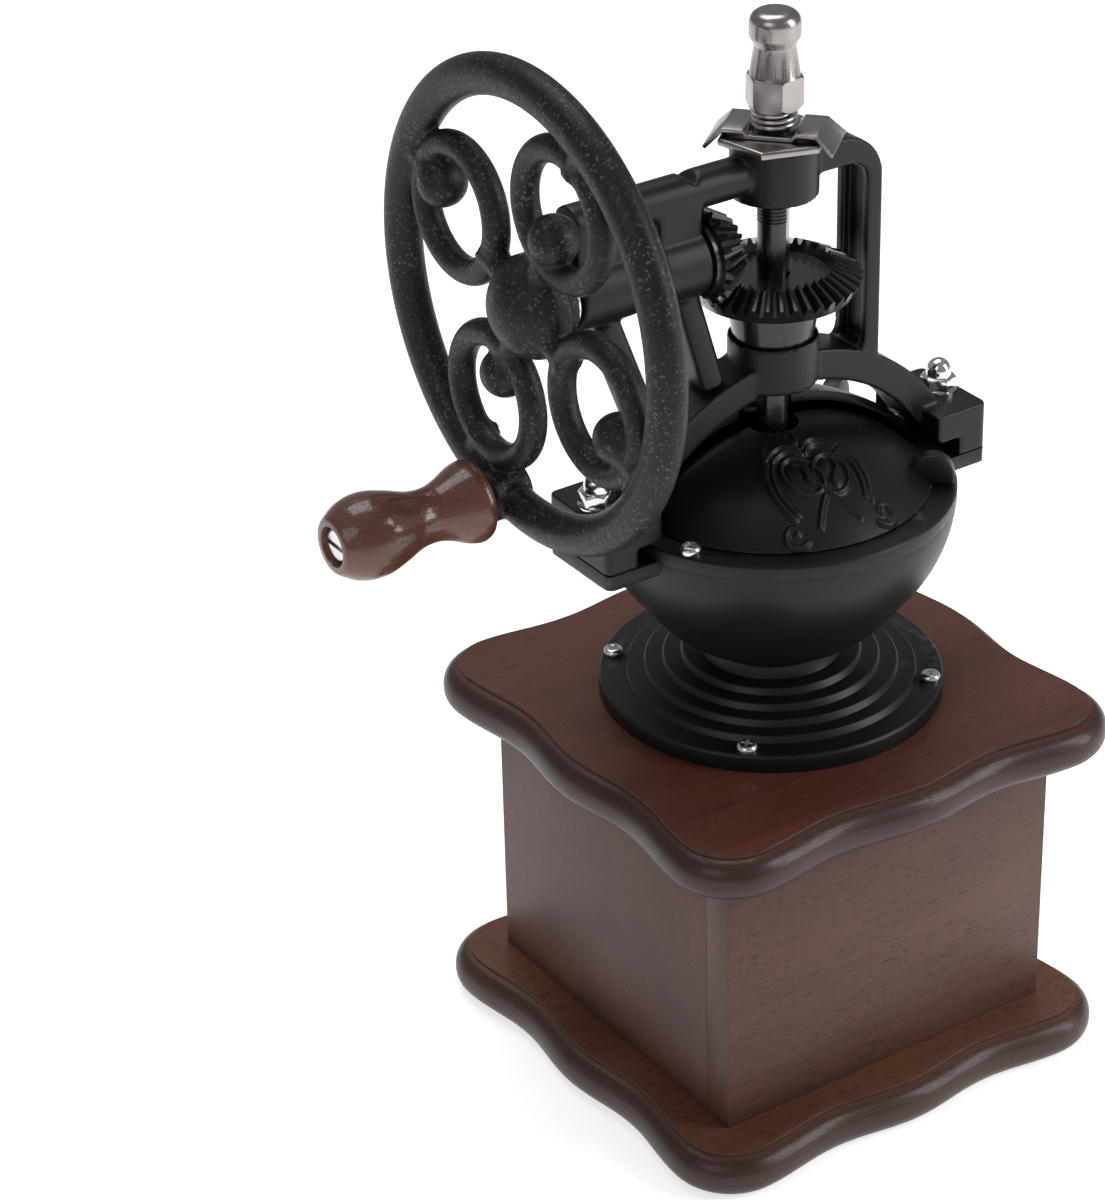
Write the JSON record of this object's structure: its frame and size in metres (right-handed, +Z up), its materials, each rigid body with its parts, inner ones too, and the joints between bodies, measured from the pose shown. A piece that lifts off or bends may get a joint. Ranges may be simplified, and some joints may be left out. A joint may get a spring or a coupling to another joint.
{
  "type": "hand crank coffee grinder",
  "caption": "Upright hand coffee mill: side flywheel crank with bevel gears drives a conical burr under a lidded bowl, on a wooden box with a drawer.",
  "frame": {"origin": "centre of the base's underside, on the spindle axis", "axes": "+Z up along the spindle; the crank shaft runs along X with the wheel on the -X side; the drawer opens towards +Y"},
  "size_m": [0.1824, 0.131, 0.2832],
  "materials": {
    "stained_wood": "satin lacquer over dark walnut stain",
    "plate_wood": "glossier lacquer over reddish walnut stain, worn on the rolled edges",
    "drawer_wood": "bare planed beech",
    "turned_wood": "turned beech, dark stain, gloss lacquer",
    "satin_black": "satin black powder coat over smooth cast iron",
    "wheel_cast": "rough cast iron under sparkling black paint",
    "dark_gear_steel": "oiled black oxide",
    "burr_iron": "bare dark cast iron",
    "gunmetal_nickel": "turned and nickel plated, gun-metal tone",
    "spring_steel": "bright drawn wire",
    "bright_zinc": "bright zinc plate",
    "bright_nickel": "polished nickel plate"
  },
  "bodies": {
    "case": {"base_plate": "plate_wood", "top_plate": "plate_wood", "back_wall": "stained_wood", "left_wall": "stained_wood", "right_wall": "stained_wood", "front_rail": "stained_wood", "base_screws": "bright_zinc", "flange_screws": "bright_zinc", "hopper_bowl": "satin_black", "outer_burr": "burr_iron", "burr_bridge": "burr_iron", "bridge_screws": "bright_zinc", "hopper_cover": "satin_black", "cover_screws": "bright_zinc", "yoke": "satin_black", "ear_bolts": "bright_nickel", "ear_washers": "bright_nickel", "acorn_nuts": "bright_nickel", "thrust_washer": "bright_zinc"},
    "drawer": {"drawer_front": "stained_wood", "drawer_left_side": "drawer_wood", "drawer_right_side": "drawer_wood", "drawer_back": "drawer_wood", "drawer_bottom": "drawer_wood", "drawer_knob": "turned_wood", "drawer_knob_screw": "bright_zinc"},
    "door": {"hopper_door": "satin_black"},
    "crank": {"wheel": "wheel_cast", "crank_shaft": "dark_gear_steel", "bevel_pinion": "dark_gear_steel", "pinion_key": "dark_gear_steel", "wheel_washer": "bright_zinc", "wheel_set_screw": "dark_gear_steel", "handle_bolt": "bright_zinc", "handle_washer": "bright_zinc"},
    "grip": {"handle_grip": "turned_wood"},
    "mill_spindle": {"spindle": "dark_gear_steel", "bevel_gear": "dark_gear_steel", "gear_set_screw": "dark_gear_steel", "inner_burr": "burr_iron", "burr_nut": "bright_zinc", "adjusting_nut": "gunmetal_nickel", "lock_spring": "spring_steel", "cap_nut": "gunmetal_nickel"},
    "lock": {"lock_plate": "gunmetal_nickel"}
  },
  "joints": [
    {"name": "drawer_slide", "type": "slide", "parent": "case", "child": "drawer", "axis": [0, 1, 0], "range_m": [0, 0.065]},
    {"name": "door_swing", "type": "hinge", "parent": "case", "child": "door", "pos_m": [0, 0, 0.16], "axis": [0, 0, 1], "range_deg": [-100, 0]},
    {"name": "crank_spin", "type": "hinge", "parent": "case", "child": "crank", "pos_m": [0, 0, 0.224], "axis": [1, 0, 0], "continuous": true},
    {"name": "grip_spin", "type": "hinge", "parent": "crank", "child": "grip", "pos_m": [-0.097, 0.01314, 0.17131], "axis": [1, 0, 0], "continuous": true},
    {"name": "spindle_spin", "type": "hinge", "parent": "case", "child": "mill_spindle", "pos_m": [0, 0, 0.15], "axis": [0, 0, 1], "continuous": true},
    {"name": "lock_lift", "type": "slide", "parent": "mill_spindle", "child": "lock", "axis": [0, 0, 1], "range_m": [0, 0.0016], "stiffness_N_per_m": 400, "springref_m": -0.001, "deforming": ["lock_spring"]}
  ],
  "couplings": [
    {"joint": "spindle_spin", "follows": "crank_spin", "ratio": -0.55}
  ]
}
